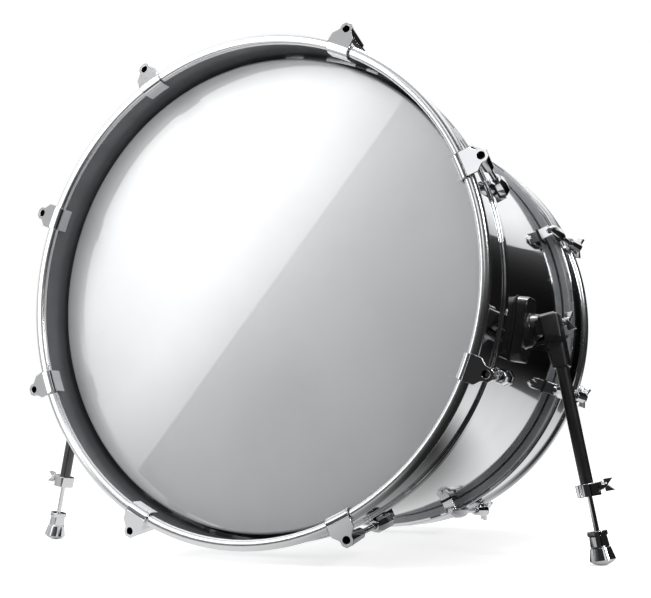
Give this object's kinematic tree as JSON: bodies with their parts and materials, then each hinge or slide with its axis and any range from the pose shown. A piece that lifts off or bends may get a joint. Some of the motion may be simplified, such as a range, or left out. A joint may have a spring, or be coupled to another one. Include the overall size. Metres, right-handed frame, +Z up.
{
  "type": "bass drum",
  "caption": "Chrome bass drum with glossy heads in claw-hooked counter hoops, faceted lugs and folding telescopic spurs.",
  "frame": {"origin": "on the floor under the middle of the bounding box", "axes": "+Z up from the floor; +Y from the front head to the rear head, level; +X to the right seen from the front"},
  "size_m": [0.6908, 0.4698, 0.5434],
  "materials": {
    "chrome": "polished chrome plate",
    "shell_wrap": "wood ply shell under a mirror chrome wrap",
    "hoop_metal": "extruded aluminium, chrome plated",
    "flesh_hoop_metal": "dark anodised aluminium",
    "film": "smooth glossy film",
    "black_casting": "gloss black paint",
    "grey_rubber": "smooth light grey rubber",
    "black_rubber": "matt black rubber",
    "black_nylon": "moulded nylon",
    "zinc_steel": "bright zinc plated steel"
  },
  "bodies": {
    "drum": {"shell": "shell_wrap", "vent_grommet": "chrome", "front_film": "film", "rear_film": "film", "front_flesh_hoop": "flesh_hoop_metal", "rear_flesh_hoop": "flesh_hoop_metal", "front_hoop": "hoop_metal", "rear_hoop": "hoop_metal", "front_claws": "chrome", "rear_claws": "chrome", "front_lugs": "chrome", "rear_lugs": "chrome", "claw_liners": "black_rubber", "rod_washers": "black_nylon", "swivel_nuts": "zinc_steel", "lug_gaskets": "black_rubber", "lug_screws": "zinc_steel", "lug_screw_washers": "zinc_steel", "spur_gaskets": "black_rubber", "spur_bracket_screws": "zinc_steel", "spur_bracket_washers": "zinc_steel", "right_spur_bracket": "black_casting", "left_spur_bracket": "black_casting"},
    "front_tension_rod_1": {"front_tension_rod_1": "chrome"},
    "front_tension_rod_2": {"front_tension_rod_2": "chrome"},
    "front_tension_rod_3": {"front_tension_rod_3": "chrome"},
    "front_tension_rod_4": {"front_tension_rod_4": "chrome"},
    "front_tension_rod_5": {"front_tension_rod_5": "chrome"},
    "front_tension_rod_6": {"front_tension_rod_6": "chrome"},
    "front_tension_rod_7": {"front_tension_rod_7": "chrome"},
    "front_tension_rod_8": {"front_tension_rod_8": "chrome"},
    "rear_tension_rod_1": {"rear_tension_rod_1": "chrome"},
    "rear_tension_rod_2": {"rear_tension_rod_2": "chrome"},
    "rear_tension_rod_3": {"rear_tension_rod_3": "chrome"},
    "rear_tension_rod_4": {"rear_tension_rod_4": "chrome"},
    "rear_tension_rod_5": {"rear_tension_rod_5": "chrome"},
    "rear_tension_rod_6": {"rear_tension_rod_6": "chrome"},
    "rear_tension_rod_7": {"rear_tension_rod_7": "chrome"},
    "rear_tension_rod_8": {"rear_tension_rod_8": "chrome"},
    "right_spur": {"right_spur_arm": "black_casting", "right_leg_tube": "black_casting", "right_leg_bush": "black_nylon", "right_leg_collar": "chrome"},
    "right_leg": {"right_leg_rod": "chrome", "right_foot_bell": "chrome", "right_foot_rubber": "grey_rubber"},
    "right_pivot_bolt": {"right_spur_pivot_bolt": "chrome"},
    "right_clamp_screw": {"right_leg_clamp_screw": "chrome"},
    "left_spur": {"left_spur_arm": "black_casting", "left_leg_tube": "black_casting", "left_leg_bush": "black_nylon", "left_leg_collar": "chrome"},
    "left_leg": {"left_leg_rod": "chrome", "left_foot_bell": "chrome", "left_foot_rubber": "grey_rubber"},
    "left_pivot_bolt": {"left_spur_pivot_bolt": "chrome"},
    "left_clamp_screw": {"left_leg_clamp_screw": "chrome"}
  },
  "joints": [
    {"name": "front_tension_rod_1_turn", "type": "hinge", "parent": "drum", "child": "front_tension_rod_1", "pos_m": [0.25975, -0.2286, 0.17735], "axis": [-0.1136, 0.9934, 0.015], "continuous": true},
    {"name": "front_tension_rod_2_turn", "type": "hinge", "parent": "drum", "child": "front_tension_rod_2", "pos_m": [0.25975, -0.2227, 0.37876], "axis": [-0.1136, 0.9908, -0.0731], "continuous": true},
    {"name": "front_tension_rod_3_turn", "type": "hinge", "parent": "drum", "child": "front_tension_rod_3", "pos_m": [0.12322, -0.21833, 0.52782], "axis": [-0.0539, 0.9889, -0.1383], "continuous": true},
    {"name": "front_tension_rod_4_turn", "type": "hinge", "parent": "drum", "child": "front_tension_rod_4", "pos_m": [-0.12322, -0.21833, 0.52782], "axis": [0.0539, 0.9889, -0.1383], "continuous": true},
    {"name": "front_tension_rod_5_turn", "type": "hinge", "parent": "drum", "child": "front_tension_rod_5", "pos_m": [-0.25975, -0.2227, 0.37876], "axis": [0.1136, 0.9908, -0.0731], "continuous": true},
    {"name": "front_tension_rod_6_turn", "type": "hinge", "parent": "drum", "child": "front_tension_rod_6", "pos_m": [-0.25975, -0.2286, 0.17735], "axis": [0.1136, 0.9934, 0.015], "continuous": true},
    {"name": "front_tension_rod_7_turn", "type": "hinge", "parent": "drum", "child": "front_tension_rod_7", "pos_m": [-0.12322, -0.23296, 0.0283], "axis": [0.0539, 0.9953, 0.0802], "continuous": true},
    {"name": "front_tension_rod_8_turn", "type": "hinge", "parent": "drum", "child": "front_tension_rod_8", "pos_m": [0.12322, -0.23296, 0.0283], "axis": [-0.0539, 0.9953, 0.0802], "continuous": true},
    {"name": "rear_tension_rod_1_turn", "type": "hinge", "parent": "drum", "child": "rear_tension_rod_1", "pos_m": [0.25303, 0.20831, 0.16716], "axis": [-0.0472, -0.9978, 0.0475], "continuous": true},
    {"name": "rear_tension_rod_2_turn", "type": "hinge", "parent": "drum", "child": "rear_tension_rod_2", "pos_m": [0.25303, 0.21405, 0.36336], "axis": [-0.0472, -0.9988, 0.011], "continuous": true},
    {"name": "rear_tension_rod_3_turn", "type": "hinge", "parent": "drum", "child": "rear_tension_rod_3", "pos_m": [0.12004, 0.21831, 0.50857], "axis": [-0.0224, -0.9996, -0.0161], "continuous": true},
    {"name": "rear_tension_rod_4_turn", "type": "hinge", "parent": "drum", "child": "rear_tension_rod_4", "pos_m": [-0.12004, 0.21831, 0.50857], "axis": [0.0224, -0.9996, -0.0161], "continuous": true},
    {"name": "rear_tension_rod_5_turn", "type": "hinge", "parent": "drum", "child": "rear_tension_rod_5", "pos_m": [-0.25303, 0.21405, 0.36336], "axis": [0.0472, -0.9988, 0.011], "continuous": true},
    {"name": "rear_tension_rod_6_turn", "type": "hinge", "parent": "drum", "child": "rear_tension_rod_6", "pos_m": [-0.25303, 0.20831, 0.16716], "axis": [0.0472, -0.9978, 0.0475], "continuous": true},
    {"name": "rear_tension_rod_7_turn", "type": "hinge", "parent": "drum", "child": "rear_tension_rod_7", "pos_m": [-0.12004, 0.20405, 0.02195], "axis": [0.0224, -0.997, 0.0746], "continuous": true},
    {"name": "rear_tension_rod_8_turn", "type": "hinge", "parent": "drum", "child": "rear_tension_rod_8", "pos_m": [0.12004, 0.20405, 0.02195], "axis": [-0.0224, -0.997, 0.0746], "continuous": true},
    {"name": "right_spur_fold", "type": "hinge", "parent": "drum", "child": "right_spur", "pos_m": [0.26495, -0.07079, 0.23059], "axis": [0.9848, 0.0051, 0.1736], "range_deg": [0, 90]},
    {"name": "right_pivot_bolt_turn", "type": "hinge", "parent": "drum", "child": "right_pivot_bolt", "pos_m": [0.26495, -0.07079, 0.23059], "axis": [0.9848, 0.0051, 0.1736], "continuous": true},
    {"name": "right_leg_slide", "type": "slide", "parent": "right_spur", "child": "right_leg", "axis": [0.1736, -0.0288, -0.9844], "range_m": [-0.025, 0.08]},
    {"name": "right_clamp_screw_turn", "type": "hinge", "parent": "right_spur", "child": "right_clamp_screw", "pos_m": [0.31946, -0.10395, 0.07204], "axis": [0.9848, 0.0051, 0.1736], "continuous": true},
    {"name": "left_spur_fold", "type": "hinge", "parent": "drum", "child": "left_spur", "pos_m": [-0.26495, -0.07079, 0.23059], "axis": [0.9848, -0.0051, -0.1736], "range_deg": [0, 90]},
    {"name": "left_pivot_bolt_turn", "type": "hinge", "parent": "drum", "child": "left_pivot_bolt", "pos_m": [-0.26495, -0.07079, 0.23059], "axis": [0.9848, -0.0051, -0.1736], "continuous": true},
    {"name": "left_leg_slide", "type": "slide", "parent": "left_spur", "child": "left_leg", "axis": [-0.1736, -0.0288, -0.9844], "range_m": [-0.025, 0.08]},
    {"name": "left_clamp_screw_turn", "type": "hinge", "parent": "left_spur", "child": "left_clamp_screw", "pos_m": [-0.31946, -0.10395, 0.07204], "axis": [0.9848, -0.0051, -0.1736], "continuous": true}
  ]
}
